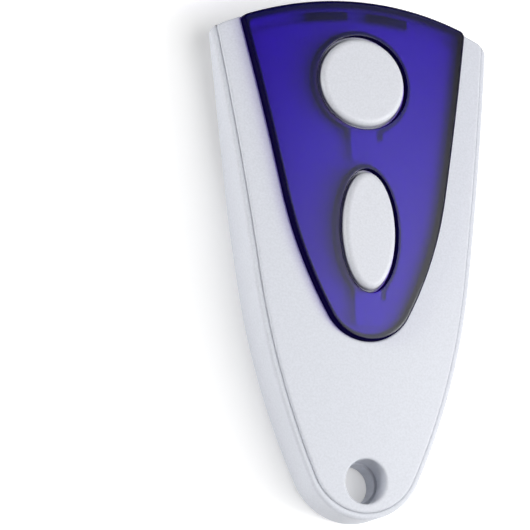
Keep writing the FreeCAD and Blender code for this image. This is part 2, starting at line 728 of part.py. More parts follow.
def make_front_frame(form):
    inner = "rim_width + face_gap + skirt"
    room = outline_body("front_room", REMOTE, inner, "skirt", "0", "clear_height")
    under_plate = common("front_under_plate", room, crown("cover_rise + plate"))
    housing = outline_body("window_housing", WINDOW, "-floor_wall", "-1")
    bay_end = "wall + seam + tab_thick + seam"
    bay = outline_body("floor_bay", REMOTE, "wall + seam", bay_end, "back_wall", "clear_height")
    area = common("floor_area", housing, bay)
    hollow = cut("front_hollow", under_plate, cut("window_keep", area, crown("floor_drop + floor")))
    panel = between("floor_panel", area, "floor_drop / 2", "floor_drop + floor")
    key_radius = "key_front_radius + key_wall"
    key_drum = drum("front_key_drum", key_radius, "ledge_height", "clear_height", up="key_place")
    key_boss = common("front_key_boss", key_drum, form)
    spigot_low = "ledge_height - spigot_depth"
    spigot = drum("front_spigot", "key_front_radius + spigot", spigot_low, "clear_height", up="key_place")
    screw_radius = "screw_pilot + boss_wall"
    screw_boss = drum("front_screw_boss", screw_radius, BOARD_TOP, "clear_height", up="screw_place")
    boss_group = fuse("front_boss_group", key_boss, spigot, screw_boss)
    bosses = common("front_bosses", boss_group, crown("cover_rise + plate / 2"))
    walls = fuse("front_walls", cut("front_tub", form, hollow), panel, bosses)
    opening = outline_body("window_opening", WINDOW, "0", "-2")
    recess = cut("window_recess", opening, crown("floor_drop"))
    key_hole = drum("front_key_hole", "key_front_radius", "0", "clear_height", up="key_place")
    pilot = drum("screw_pilot_hole", "screw_pilot", "0", "screw_end + screw_tip_gap", up="screw_place")
    access = [
        drum("round_access", "access_radius", "0", "clear_height", up="round_place"),
        drum("oval_access", "access_radius", "0", "clear_height", up="oval_place"),
    ]
    frame = cut("front_frame_open", walls, recess, key_hole, pilot, *access)
    pegs = [
        drum("round_peg", "peg_radius", "ledge_height", "clear_height", up="round_pivot"),
        drum("oval_peg", "peg_radius", "ledge_height", "clear_height", up="oval_pivot"),
    ]
    standing = between("arm_pegs", fuse("peg_pair", *pegs), "cover + flange_gap", "floor_drop + floor / 2")
    return fuse("front_frame", frame, standing)


# Tinted cover: a translucent cap that drops into the front frame, with a wall
# round its edge, a collar round each button and two snap tabs at the button end.


def make_cover_form():
    body = outline_body("cover_form", WINDOW, "seam", "0", "ledge_height")
    trim_face(body, "0")
    tops = faces_toward(body.Tip.Shape, Vector(0, 0, 1))
    fillet(body, "cover_edge", on_any(tops), "cover_form_edge")
    return body


def make_collar(name, outer, inner, opening, place, start):
    """Wall round a button under the cover, open towards the key ring, with two straight ends."""
    gate = block(name + "_gate", "-(%s)" % opening, opening, "-clear_span", place, "0", "clear_height")
    ring = cut(name + "_ring", outer, inner, gate)
    feet = []
    for side, left in (("left", "-(%s + collar)" % opening), ("right", opening)):
        sizes = {"Length": "collar", "Width": "foot_length", "Height": "clear_height"}
        feet.append(solid("Box", name + "_foot_" + side, sizes, (left, start, "0")))
    return fuse(name, ring, *feet)


def foot_start(opening, wide, longer, middle):
    """Lower end of a collar's foot, which begins where the collar's inside meets its opening."""
    share = "%s / (%s)" % (opening, wide)
    return "%s - (%s) * (1 - (%s) ^ 2) ^ 0.5 - foot_length" % (middle, longer, share)


def make_tinted_cover(form):
    hollow = common(
        "cover_hollow",
        outline_body("cover_room", WINDOW, "seam + cover_wall", "cover_wall"),
        crown("cover"),
    )
    shell = cut("cover_shell", form, hollow, crown("floor_drop - seam"))
    hole = "round_radius + button_gap"
    inner, outer = hole + " + collar_gap", hole + " + collar_gap + collar"
    round_collar = make_collar(
        "round_collar",
        drum("round_collar_outer", outer, "0", "clear_height", up="round_place"),
        drum("round_collar_inner", inner, "0", "clear_height", up="round_place"),
        "round_opening",
        "round_place",
        foot_start("round_opening", inner, inner, "round_place"),
    )
    longer, wider = "oval_long + button_gap", "oval_wide + button_gap"
    inner_longer, inner_wider = longer + " + collar_gap", wider + " + collar_gap"
    outer_longer, outer_wider = inner_longer + " + collar", inner_wider + " + collar"
    oval_collar = make_collar(
        "oval_collar",
        oval("oval_collar_outer", outer_longer, outer_wider, "0", "clear_height", "oval_place"),
        oval("oval_collar_inner", inner_longer, inner_wider, "0", "clear_height", "oval_place"),
        "oval_opening",
        "oval_place",
        foot_start("oval_opening", inner_wider, inner_longer, "oval_place"),
    )
    collars = between(
        "collars", fuse("collar_pair", round_collar, oval_collar), "cover / 2", "floor_drop - collar_lift"
    )
    body = fuse("cover_body", shell, collars, make_snap_tabs())
    open_cover = cut(
        "cover_open",
        body,
        drum("round_hole", hole, "0", "clear_height", up="round_place"),
        oval("oval_hole", longer, wider, "0", "clear_height", "oval_place"),
    )
    doc.recompute()
    skin = faces_toward(open_cover.Shape, Vector(0, 0, 1))
    skin = [face for face in skin if face.BoundBox.ZMax > value("face_height") - 1e-3]

    def hole_rim(edge):
        box = edge.BoundBox
        across = box.XMax < value("%s + cover_edge" % hole)
        top = box.YMax < value("round_place + %s + cover_edge" % hole)
        low = box.YMin > value("oval_place - (%s) - cover_edge" % longer)
        return across and top and low and on_any(skin)(edge)

    return rounded("tinted_cover", open_cover, "hole_edge", hole_rim)


def make_snap_tabs():
    """Two tabs that hang inside the end wall, one each side of the middle."""
    outer = outline_body("tab_outer", REMOTE, "wall + seam", "wall + seam")
    inner = outline_body("tab_inner", REMOTE, "wall + seam", "wall + seam + tab_thick")
    band = cut("tab_band", outer, inner)
    room = ("0", "clear_span", "0", "clear_height")
    blocks = [
        block("tab_right", "tab_offset", "tab_offset + tab_width", *room),
        block("tab_left", "-tab_offset - tab_width", "-tab_offset", *room),
    ]
    pair = common("tab_pair", band, fuse("tab_blocks", *blocks))
    return between("snap_tabs", pair, "cover / 2", "tab_drop")


# Buttons: a hollow cap with a flange under the cover and an arm that flexes from its peg.


def make_button(name, cap, core, flange, place, pivot, rise):
    """A button from the prism of its cap, of its hollow and of its flange."""
    low = "cover + flange_gap + flange"
    capped = between(name + "_cap", cap, "-" + rise, low)
    doc.recompute()
    crest = faces_toward(capped.Shape, Vector(0, 0, 1))
    cap_soft = rounded(name + "_cap_soft", capped, "button_edge", on_any(crest))
    arm = block(name + "_arm", "-arm_half", "arm_half", pivot, place, "0", "clear_height")
    root = drum(name + "_root", "arm_half", "0", "clear_height", up=pivot)
    ends = ("%s - tab_reach" % pivot, place)
    root_end = block(name + "_root_end", "-arm_half", "arm_half", *ends, "0", "clear_height")
    plate = fuse(name + "_plate", flange, arm, common(name + "_root_trim", root, root_end))
    sheet_part = between(name + "_flange", plate, "cover + flange_gap", low)
    hollow = common(name + "_hollow", core, crown("cap_skin - " + rise))
    peg_hole = drum(name + "_peg_hole", "peg_radius + peg_gap", "0", "clear_height", up=pivot)
    shell = cut(name + "_shell", fuse(name + "_solid", cap_soft, sheet_part), hollow, peg_hole)
    boss = drum(name + "_boss", "boss_radius", PLUNGER_TOP + " + touch_gap", "clear_height", up=place)
    return fuse(name, shell, common(name + "_boss_trim", boss, crown("cap_skin / 2 - " + rise)))


def make_round_button():
    place = "round_place"
    cap = drum("round_cap", "round_radius", "0", "clear_height", up=place)
    core = drum("round_core", "round_radius - cap_wall", "0", "clear_height", up=place)
    flange = drum("round_flange", "round_radius + button_gap + flange_lip", "0", "clear_height", up=place)
    return make_button("round_button", cap, core, flange, place, "round_pivot", "round_rise")


def make_oval_button():
    place = "oval_place"
    cap = oval("oval_cap", "oval_long", "oval_wide", "0", "clear_height", place)
    core = oval("oval_core", "oval_long - cap_wall", "oval_wide - cap_wall", "0", "clear_height", place)
    lip = "button_gap + flange_lip"
    flange = oval("oval_flange", "oval_long + " + lip, "oval_wide + " + lip, "0", "clear_height", place)
    return make_button("oval_button", cap, core, flange, place, "oval_pivot", "oval_rise")


# Battery cover: a round cover that a coin turns, with a ring and two lugs inside.


def make_battery_cover():
    body = new_body("door_body")
    profile = new_sketch(body, "XZ_Plane", "door_profile")
    top = "back_wall + ring_height"
    corners = [
        ("0", "0"),
        ("door_radius", "0"),
        ("door_radius", "back_wall"),
        ("ring_radius", "back_wall"),
        ("ring_radius", top),
        ("ring_radius - ring", top),
        ("ring_radius - ring", "back_wall"),
        ("0", "back_wall"),
    ]
    points = [Vector(value(across), value(up), 0) for across, up in corners]
    count = len(points)
    sides = [Part.LineSegment(points[i], points[(i + 1) % count]) for i in range(count)]
    profile.addGeometry(sides, False)
    for i in range(count):
        profile.addConstraint(Sketcher.Constraint("Coincident", i, 2, (i + 1) % count, 1))
        profile.addConstraint(Sketcher.Constraint("Vertical" if i % 2 else "Horizontal", i))
    profile.addConstraint(Sketcher.Constraint("Coincident", 0, 1, -1, 1))
    dimension(profile, "DistanceX", (-1, 1, 1, 1), "door_radius")
    dimension(profile, "DistanceY", (-1, 1, 2, 1), "back_wall")
    dimension(profile, "DistanceX", (-1, 1, 3, 1), "ring_radius")
    dimension(profile, "DistanceY", (-1, 1, 4, 1), top)
    dimension(profile, "DistanceX", (-1, 1, 5, 1), "ring_radius - ring")
    dimension(profile, "DistanceY", (-1, 1, 6, 2), "back_wall")
    turned = body.newObject("PartDesign::Revolution", "door_turned")
    turned.Profile = profile
    turned.ReferenceAxis = (profile, ["V_Axis"])
    turned.Angle = 360
    doc.recompute()
    fillet(body, "door_edge", lambda edge: is_ring(edge, "door_radius", "0"), "door_soft")
    slot = new_sketch(body, "XY_Plane", "door_slot")
    draw_slot(slot, "slot_length / 2 - slot_width / 2", "slot_width / 2")
    before = body.Tip.Shape.Volume
    groove = body.newObject("PartDesign::Pocket", "door_slot_cut")
    groove.Profile = slot
    groove.Reversed = True
    groove.setExpression("Length", bound("slot_depth"))
    doc.recompute()
    if groove.Shape.Volume > before - 1e-6:
        raise RuntimeError("the coin slot cuts nothing")
    body.setExpression("Placement.Base.y", bound("cell_place"))
    low, high = "back_wall + lug_lift", top
    bar = block("lug_bar", "-lug_reach", "lug_reach", "-lug_half", "lug_half", low, high)
    ends = common("lug_ends", bar, drum("lug_disc", "lug_reach", low, high))
    lugs = cut("lugs", ends, drum("lug_inside", "ring_radius - ring / 2", low, high))
    lugs.setExpression("Placement.Base.y", bound("cell_place"))
    return fuse("battery_cover", body, lugs)


def draw_slot(sketch, half, radius):
    """Slot with round ends across the sketch's middle."""
    x, r = value(half), value(radius)
    items = [
        arc(Vector(x, 0, 0), r, -math.pi / 2, math.pi / 2),
        Part.LineSegment(Vector(x, r, 0), Vector(-x, r, 0)),
        arc(Vector(-x, 0, 0), r, math.pi / 2, 3 * math.pi / 2),
        Part.LineSegment(Vector(-x, -r, 0), Vector(x, -r, 0)),
    ]
    sketch.addGeometry(items, False)
    for places in ((0, 2, 1, 1), (1, 2, 2, 1), (2, 2, 3, 1), (3, 2, 0, 1)):
        sketch.addConstraint(Sketcher.Constraint("Tangent", *places))
    for end in (0, 2):
        sketch.addConstraint(Sketcher.Constraint("PointOnObject", end, 3, -1))
    dimension(sketch, "Radius", (0,), radius)
    dimension(sketch, "DistanceX", (-1, 1, 0, 3), half)
    dimension(sketch, "DistanceX", (2, 3, -1, 1), half)


# Coin cell and its contacts


def make_cell():
    """Can, gasket and negative cap of the coin cell. The can's flat side faces the cover."""
    place = "cell_place"
    shoulder = CELL_TOP + " - cap_rise"
    blank = drum("can_blank", "cell_radius", CELL_LOW, shoulder, up=place)
    soft = rounded("can_soft", blank, "can_edge", lambda edge: isinstance(edge.Curve, Part.Circle))
    mouth = drum("can_mouth", "cap_radius + gasket", CELL_LOW + " + can_edge", CELL_TOP, up=place)
    can = cut("cell_can", soft, mouth)
    floor = CELL_LOW + " + can_edge"
    gasket = cut(
        "cell_gasket",
        drum("gasket_outer", "cap_radius + gasket", floor, shoulder, up=place),
        drum("gasket_inner", "cap_radius", floor, shoulder, up=place),
    )
    cap = drum("cap_blank", "cap_radius", floor, CELL_TOP, up=place)
    cap = rounded("cell_cap", cap, "cap_rise / 2", lambda edge: is_ring(edge, "cap_radius", CELL_TOP))
    return can, gasket, cap


def make_contacts():
    """A side leaf that touches the can and a tongue that touches the cap."""
    half = "leaf_width / 2"
    foot_low = "board_base - contact"
    leg_low = CELL_LOW + " + cell_height / 2"
    front = "cell_place + cell_radius + seam"
    rear = front + " + contact"
    leg = block("plus_leg", "-" + half, half, front, rear, leg_low, "board_base")
    foot = block("plus_foot", "-" + half, half, front, rear + " + leaf_width", foot_low, "board_base")
    plus = fuse("positive_contact", leg, foot)
    ends = ("cell_place - " + half, "cell_place + " + half)
    base = block("minus_base", "-leaf_width", "leaf_width", *ends, foot_low, "board_base")
    nub = drum("minus_nub", half + " / 2", CELL_TOP, "board_base", up="cell_place")
    minus = fuse("negative_contact", base, nub)
    return plus, minus


# Circuit board and what it carries


def board_outline(name, inset, low, high, low_end):
    """Prism of the board's outline drawn in by an inset, from a lower end up."""
    side, end = "wall + board_gap + " + inset, "end_reach - board_top_end + " + inset
    area = outline_body(name + "_area", REMOTE, side, end, low, high, "board_corner - (%s)" % inset)
    window = block(name + "_window", "-clear_span", "clear_span", low_end, "clear_span", "0", "clear_height")
    return common(name, area, window)


def make_board():
    blank = board_outline("board_blank", "0", "board_base", BOARD_TOP, "-board_low_end")
    hole = drum("board_hole", "screw_clear", "0", "clear_height", up="screw_place")
    return cut("circuit_board", blank, hole)


def make_switch(name, place):
    """Base, plate, plunger and snap dome of a switch under a button."""
    half = "switch_width / 2"
    base_top = BOARD_TOP + " + switch_base"
    frame_top = base_top + " + switch_frame"
    well_radius = "plunger_radius + plunger_lip + plunger_gap"
    well_low = base_top + " - plunger_foot - plunger_room - dome"
    corners = ("-(%s)" % half, half, "%s - %s" % (place, half), "%s + %s" % (place, half))
    base = cut(
        name + "_base",
        block(name + "_base_block", *corners, BOARD_TOP, base_top),
        drum(name + "_well", well_radius, well_low, frame_top, up=place),
    )
    plate = cut(
        name + "_plate",
        block(name + "_plate_block", *corners, base_top, frame_top),
        drum(name + "_plate_hole", "plunger_radius + plunger_gap", "0", "clear_height", up=place),
    )
    low = base_top + " - plunger_foot"
    foot = drum(name + "_foot", "plunger_radius + plunger_lip", low, base_top, up=place)
    stem = drum(name + "_stem", "plunger_radius", low, PLUNGER_TOP, up=place)
    plunger = fuse(name + "_plunger", foot, stem)
    sizes = {"Radius1": "plunger_radius + plunger_lip", "Radius2": "plunger_radius / 2", "Height": "dome"}
    dome = solid("Cone", name + "_dome", sizes, ("0", place, well_low))
    return {"_base": base, "_plate": plate, "_plunger": plunger, "_dome": dome}


def on_board(name, across, up, width, length, height, lift="0"):
    """Box that stands on the board round a place, or a lift above it."""
    return block(
        name,
        "%s - (%s) / 2" % (across, width),
        "%s + (%s) / 2" % (across, width),
        "%s - (%s) / 2" % (up, length),
        "%s + (%s) / 2" % (up, length),
        "%s + %s" % (BOARD_TOP, lift),
        "%s + %s" % (BOARD_TOP, height),
    )


def make_encoder():
    """Small chip with a row of pins along each side."""
    across, up = "chip_place_x", "chip_place_y"
    body = on_board("chip_body", across, up, "chip_width", "chip_length", "chip_height", "pin_thick")
    pins = []
    count = int(value("pin_count"))
    for side in ("left", "right"):
        sign = "-" if side == "left" else "+"
        place = "%s %s (chip_width + pin_reach) / 2" % (across, sign)
        for i in range(count):
            along = "%s + pin_pitch * %s" % (up, i - (count - 1) / 2)
            name = "pin_%s_%d" % (side, i)
            pins.append(on_board(name, place, along, "pin_reach", "pin_width", "pin_thick * 2"))
    return body, fuse("encoder_pins", *pins)


def make_resonator():
    """Square metal can, round at its upper and upright edges."""
    blank = on_board("resonator_blank", "resonator_x", "resonator_y", "can_side", "can_side", "can_height")
    foot = value(BOARD_TOP) + 1e-3
    return rounded("resonator_can", blank, "can_edge", lambda edge: edge.CenterOfMass.z > foot)


def make_row(name, side):
    """A row of chip parts along one side of the board."""
    parts = []
    for i in range(int(value("small_count"))):
        up = "row_place + small_pitch * %d" % i
        label = "%s_%d" % (name, i)
        parts.append(on_board(label, side + "row_side", up, "small_length", "small_width", "small_height"))
    return fuse(name, *parts)


def make_lamp():
    """Indicator lamp: a chip with a small dome."""
    place = ("lamp_x", "lamp_y")
    base = on_board("lamp_blank", *place, "lamp_width", "lamp_length", "lamp_height")
    ball = solid("Sphere", "lens_ball", {"Radius": "lamp_lens"}, (*place, BOARD_TOP + " + lamp_height"))
    keep = on_board("lens_keep", *place, "lamp_width", "lamp_length", "clear_height", "lamp_height")
    return base, common("indicator_lens", ball, keep)


def make_loop():
    """Antenna loop: a copper strip round the button end of the board."""
    heights = (BOARD_TOP, BOARD_TOP + " + loop_thick")
    outer = board_outline("loop_outer", "loop_inset", *heights, "loop_low")
    inner = board_outline("loop_inner", "loop_inset + loop_width", *heights, "-clear_span")
    return cut("antenna_loop", outer, inner)


# Housing screw, driven from the back through the board into the front frame


def make_screw():
    head_low = "head_seat - head_height"
    head = drum("screw_head", "head_radius", head_low, "head_seat", up="screw_place")

    def on_rim(edge):
        return is_ring(edge, "head_radius", head_low)

    soft = rounded("screw_head_soft", head, "head_edge", on_rim)
    shank = drum("screw_shank", "screw_radius", "head_seat", "screw_end", up="screw_place")

    def groove(name, width, length):
        ends = ("screw_place - %s / 2" % length, "screw_place + %s / 2" % length)
        heights = (head_low + " - cross_depth", head_low + " + cross_depth")
        return block(name, "-%s / 2" % width, "%s / 2" % width, *ends, *heights)

    across = groove("cross_across", "cross_length", "cross_width")
    along = groove("cross_along", "cross_width", "cross_length")
    return cut("housing_screw", fuse("screw_body", soft, shank), across, along)


rear_form = make_rear_form()
cell_can, cell_gasket, cell_cap = make_cell()
positive_contact, negative_contact = make_contacts()
encoder_chip, encoder_pins = make_encoder()
lamp_base, lamp_lens = make_lamp()

PARTS = {
    "rear_shell": make_rear_shell(rear_form),
    "front_frame": make_front_frame(make_front_form()),
    "tinted_cover": make_tinted_cover(make_cover_form()),
    "round_button": make_round_button(),
    "oval_button": make_oval_button(),
    "battery_cover": make_battery_cover(),
    "coin_cell_can": cell_can,
    "coin_cell_gasket": cell_gasket,
    "coin_cell_cap": cell_cap,
    "positive_contact": positive_contact,
    "negative_contact": negative_contact,
    "circuit_board": make_board(),
    "encoder_chip": encoder_chip,
    "encoder_pins": encoder_pins,
    "resonator_can": make_resonator(),
    "chip_resistors": make_row("chip_resistors", "-"),
    "chip_capacitors": make_row("chip_capacitors", "+"),
    "indicator_lamp": lamp_base,
    "indicator_lens": lamp_lens,
    "antenna_loop": make_loop(),
    "housing_screw": make_screw(),
}
for switch, button_place in (("upper_switch", "round_place"), ("lower_switch", "oval_place")):
    for ending, piece in make_switch(switch, button_place).items():
        PARTS[switch + ending] = piece

doc.recompute()
for item in doc.Objects:
    if "Invalid" in item.State or "Error" in item.State:
        raise RuntimeError("%s did not compute" % item.Label)
os.makedirs("parts", exist_ok=True)
for label, item in PARTS.items():
    item.Label = label
    shape = item.Shape
    if shape.isNull() or not shape.isValid() or not shape.Solids:
        raise RuntimeError("%s is not a sound solid" % label)
    shape.exportStep("parts/%s.step" % label)
    print(label, len(shape.Solids), round(shape.Volume, 2))
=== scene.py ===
"""Looks of the garage door remote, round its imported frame. Lengths are in metres."""
import json
import math

import bpy
from mathutils import Matrix, Vector


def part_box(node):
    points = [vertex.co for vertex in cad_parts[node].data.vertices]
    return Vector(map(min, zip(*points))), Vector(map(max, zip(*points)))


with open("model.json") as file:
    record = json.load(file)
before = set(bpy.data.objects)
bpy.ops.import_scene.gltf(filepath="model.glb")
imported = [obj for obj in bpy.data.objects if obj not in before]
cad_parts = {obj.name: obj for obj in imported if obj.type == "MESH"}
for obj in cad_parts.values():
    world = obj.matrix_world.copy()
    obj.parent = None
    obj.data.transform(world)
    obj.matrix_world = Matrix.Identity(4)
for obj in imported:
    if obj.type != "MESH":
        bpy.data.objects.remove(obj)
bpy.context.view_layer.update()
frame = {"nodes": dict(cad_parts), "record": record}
nodes = frame["nodes"]
scene = bpy.context.scene
scene.view_settings.view_transform = "Standard"
MM = 0.001

# Camera, fitted to the outline of the case, its cover, buttons and hole

CAMERA_YAW = math.radians(22.908)
CAMERA_PITCH = math.radians(-10.727)
CAMERA_ROLL = math.radians(0.971)
CAMERA_ASIDE = 14.680 * MM
CAMERA_UP = 1.373 * MM
CAMERA_DISTANCE = 676.0 * MM
FOCAL_PIXELS = 4690.8
PICTURE_SIDE = 530
SENSOR_WIDTH = 36.0
CLIP_START = 0.01
CLIP_END = 10

# Sizes of the case that the camera and the finishes follow

COVER_CROWN = 10.35 * MM
COVER_RISE = 1.1 * MM
COVER_THICKNESS = 1.1 * MM
BOW_RADIUS = 294 * MM
CROSS_RADIUS = 111 * MM
OVAL_FLANGE_LENGTH = 18.54 * MM
COLLAR_REACH = 1.8 * MM


def make_camera():
    """Telephoto camera that looks down on the face from the lower left."""
    data = bpy.data.cameras.new("camera")
    data.sensor_width = SENSOR_WIDTH
    data.lens = FOCAL_PIXELS * SENSOR_WIDTH / PICTURE_SIDE
    data.clip_start = CLIP_START
    data.clip_end = CLIP_END
    camera = bpy.data.objects.new("camera", data)
    turn = (
        Matrix.Rotation(CAMERA_ROLL, 3, "Z")
        @ Matrix.Rotation(CAMERA_PITCH, 3, "X")
        @ Matrix.Rotation(CAMERA_YAW, 3, "Y")
    )
    shift = Vector((CAMERA_ASIDE, CAMERA_UP, -CAMERA_DISTANCE))
    back = turn.transposed()
    place = Matrix.Translation(Vector((0, 0, COVER_CROWN - COVER_RISE)) - back @ shift)
    camera.matrix_world = place @ back.to_4x4()
    scene.collection.objects.link(camera)
    scene.camera = camera


make_camera()

# Materials

# Noise runs between about these two amounts; its scale counts grains to the metre
NOISE_LOW = 0.3
NOISE_HIGH = 0.7
GRAIN_DETAIL = 3.0
GRAIN_ROUGHNESS = 0.6
GRAIN_SCALE = 3200.0
GRAIN_HEIGHT = 0.012 * MM
GRAIN_STRENGTH = 0.35
GLOSS_SPREAD = 0.12
# Places of a Mix node's sockets, whose names repeat: its two numbers, two colours and colour output
MIX_NUMBERS = 2, 3
MIX_COLOURS = 6, 7
MIX_COLOUR = 2


class Shade:
    """A node material under construction."""

    def __init__(self, name):
        self.material = bpy.data.materials.new(name)
        self.material.use_nodes = True
        self.tree = self.material.node_tree
        self.tree.nodes.clear()
        self.output = self.add("OutputMaterial")

    def add(self, kind, **settings):
        """New node of a kind; a setting that names an input sets it, any other an attribute."""
        node = self.tree.nodes.new("ShaderNode" + kind)
        for key, amount in settings.items():
            if key in node.inputs:
                node.inputs[key].default_value = amount
            else:
                setattr(node, key, amount)
        return node

    def join(self, source, target):
        self.tree.links.new(source, target)

    def surface(self, source):
        self.join(source, self.output.inputs["Surface"])


def step(shade, source, first, last, low, high):
    """An amount that goes from low to high while the source goes from first to last."""
    node = shade.add("MapRange")
    for key, amount in (("From Min", first), ("From Max", last), ("To Min", low), ("To Max", high)):
        node.inputs[key].default_value = amount
    shade.join(source, node.inputs["Value"])
    return node.outputs["Result"]


def grain(shade, scale):
    """Even noise in the object's own coordinates."""
    place = shade.add("TexCoord")
    noise = shade.add("TexNoise", Scale=scale, Detail=GRAIN_DETAIL, Roughness=GRAIN_ROUGHNESS)
    shade.join(place.outputs["Object"], noise.inputs["Vector"])
    return noise.outputs["Fac"]


def ramp(shade, source, low, high):
    """Colours between two amounts of a noise."""
    node = shade.add("ValToRGB")
    node.color_ramp.elements[0].position = NOISE_LOW
    node.color_ramp.elements[1].position = NOISE_HIGH
    node.color_ramp.elements[0].color = (*low, 1)
    node.color_ramp.elements[1].color = (*high, 1)
    shade.join(source, node.inputs["Fac"])
    return node.outputs["Color"]


def spread(shade, source, low, high):
    """A number between two amounts that follows a noise."""
    return step(shade, source, NOISE_LOW, NOISE_HIGH, low, high)


def moulded(name, colour, roughness, scale=GRAIN_SCALE, contrast=0.035, soft_edge=0.0, **settings):
    """Plastic or metal with a fine grain in its colour, gloss and surface.

    A soft edge shades the edges as if they were rounded by that radius.
    """
    shade = Shade(name)
    noise = grain(shade, scale)
    skin = shade.add("BsdfPrincipled")
    for key, amount in settings.items():
        skin.inputs[key.replace("_", " ")].default_value = amount
    low = tuple(channel * (1 - contrast) for channel in colour)
    high = tuple(min(1.0, channel * (1 + contrast)) for channel in colour)
    shade.join(ramp(shade, noise, low, high), skin.inputs["Base Color"])
    limits = roughness * (1 - GLOSS_SPREAD), roughness * (1 + GLOSS_SPREAD)
    shade.join(spread(shade, noise, *limits), skin.inputs["Roughness"])
    bump = shade.add("Bump", Strength=GRAIN_STRENGTH, Distance=GRAIN_HEIGHT)
    shade.join(noise, bump.inputs["Height"])
    if soft_edge:
        bevel = shade.add("Bevel", Radius=soft_edge)
        shade.join(bevel.outputs["Normal"], bump.inputs["Normal"])
    shade.join(bump.outputs["Normal"], skin.inputs["Normal"])
    shade.surface(skin.outputs["BSDF"])
    return shade.material


def depth_under_crown(shade):
    """How far a point lies under the cover's domed top, along Z.

    Along each axis the dome falls by half the square of the way from the middle over its radius.
    """
    place = shade.add("TexCoord")
    parts = shade.add("SeparateXYZ")
    shade.join(place.outputs["Object"], parts.inputs["Vector"])
    height = parts.outputs["Z"]
    for axis, radius in (("X", CROSS_RADIUS), ("Y", BOW_RADIUS)):
        square = shade.add("Math", operation="MULTIPLY")
        shade.join(parts.outputs[axis], square.inputs[0])
        shade.join(parts.outputs[axis], square.inputs[1])
        lifted = shade.add("Math", operation="MULTIPLY_ADD")
        lifted.inputs[1].default_value = 0.5 / radius
        shade.join(square.outputs["Value"], lifted.inputs[0])
        shade.join(height, lifted.inputs[2])
        height = lifted.outputs["Value"]
    depth = shade.add("Math", operation="SUBTRACT")
    depth.inputs[0].default_value = COVER_CROWN
    shade.join(height, depth.inputs[1])
    return depth.outputs["Value"]


def blend(shade, share, first, second):
    """Shader between two others, by a share from 0 to 1."""
    mix = shade.add("MixShader")
    shade.join(share, mix.inputs["Fac"])
    shade.join(first, mix.inputs[1])
    shade.join(second, mix.inputs[2])
    return mix.outputs["Shader"]


def times(shade, first, second):
    """Product of two amounts."""
    node = shade.add("Math", operation="MULTIPLY")
    shade.join(first, node.inputs[0])
    shade.join(second, node.inputs[1])
    return node.outputs["Value"]


COVER_IOR = 1.49
# Upright part of a unit normal, above which a face is level and below which it counts as a wall
LEVEL_NORMAL = 0.96
RIM_NORMAL = 0.8
# Depths under the crown between which the cover's regions pass into each other
NEAR_UNDERSIDE = COVER_THICKNESS * 0.8, COVER_THICKNESS * 0.9
BELOW_UNDERSIDE = COVER_THICKNESS * 1.02, COVER_THICKNESS * 1.1
HUNG_START = COVER_THICKNESS * 1.05, COVER_THICKNESS * 1.35
# Shares of the reach round a button between which its region ends
REACH_EDGE = 0.99, 1.01
# Share of the outer walls' painted shade that also stops lamp light
WALL_SHADE = 0.15


def upright(shade, depth):
    """Share that is 1 on upright faces and rims above the cover's underside, and 0 elsewhere."""
    place = shade.add("NewGeometry")
    parts = shade.add("SeparateXYZ")
    shade.join(place.outputs["Normal"], parts.inputs["Vector"])
    size = shade.add("Math", operation="ABSOLUTE")
    shade.join(parts.outputs["Z"], size.inputs[0])
    steep = step(shade, size.outputs["Value"], LEVEL_NORMAL, RIM_NORMAL, 0, 1)
    high = step(shade, depth, *BELOW_UNDERSIDE, 1, 0)
    return times(shade, steep, high)


def near_buttons(shade):
    """Share that is 1 within the collars' reach round each button, and 0 elsewhere."""
    found = []
    for name in ("round_button", "oval_button"):
        right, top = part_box(name)[1][:2]
        half_width = right + COLLAR_REACH
        half_length = half_width if name == "round_button" else OVAL_FLANGE_LENGTH / 2 + COLLAR_REACH
        middle = top + COLLAR_REACH - half_length
        place = shade.add("TexCoord")
        scaled = shade.add("VectorMath", operation="MULTIPLY_ADD")
        scaled.inputs[1].default_value = (1 / half_width, 1 / half_length, 0)
        scaled.inputs[2].default_value = (0, -middle / half_length, 0)
        shade.join(place.outputs["Object"], scaled.inputs[0])
        far = shade.add("VectorMath", operation="LENGTH")
        shade.join(scaled.outputs["Vector"], far.inputs[0])
        found.append(step(shade, far.outputs["Value"], *REACH_EDGE, 1, 0))
    both = shade.add("Math", operation="MAXIMUM")
    shade.join(found[0], both.inputs[0])
    shade.join(found[1], both.inputs[1])
    return both.outputs["Value"]


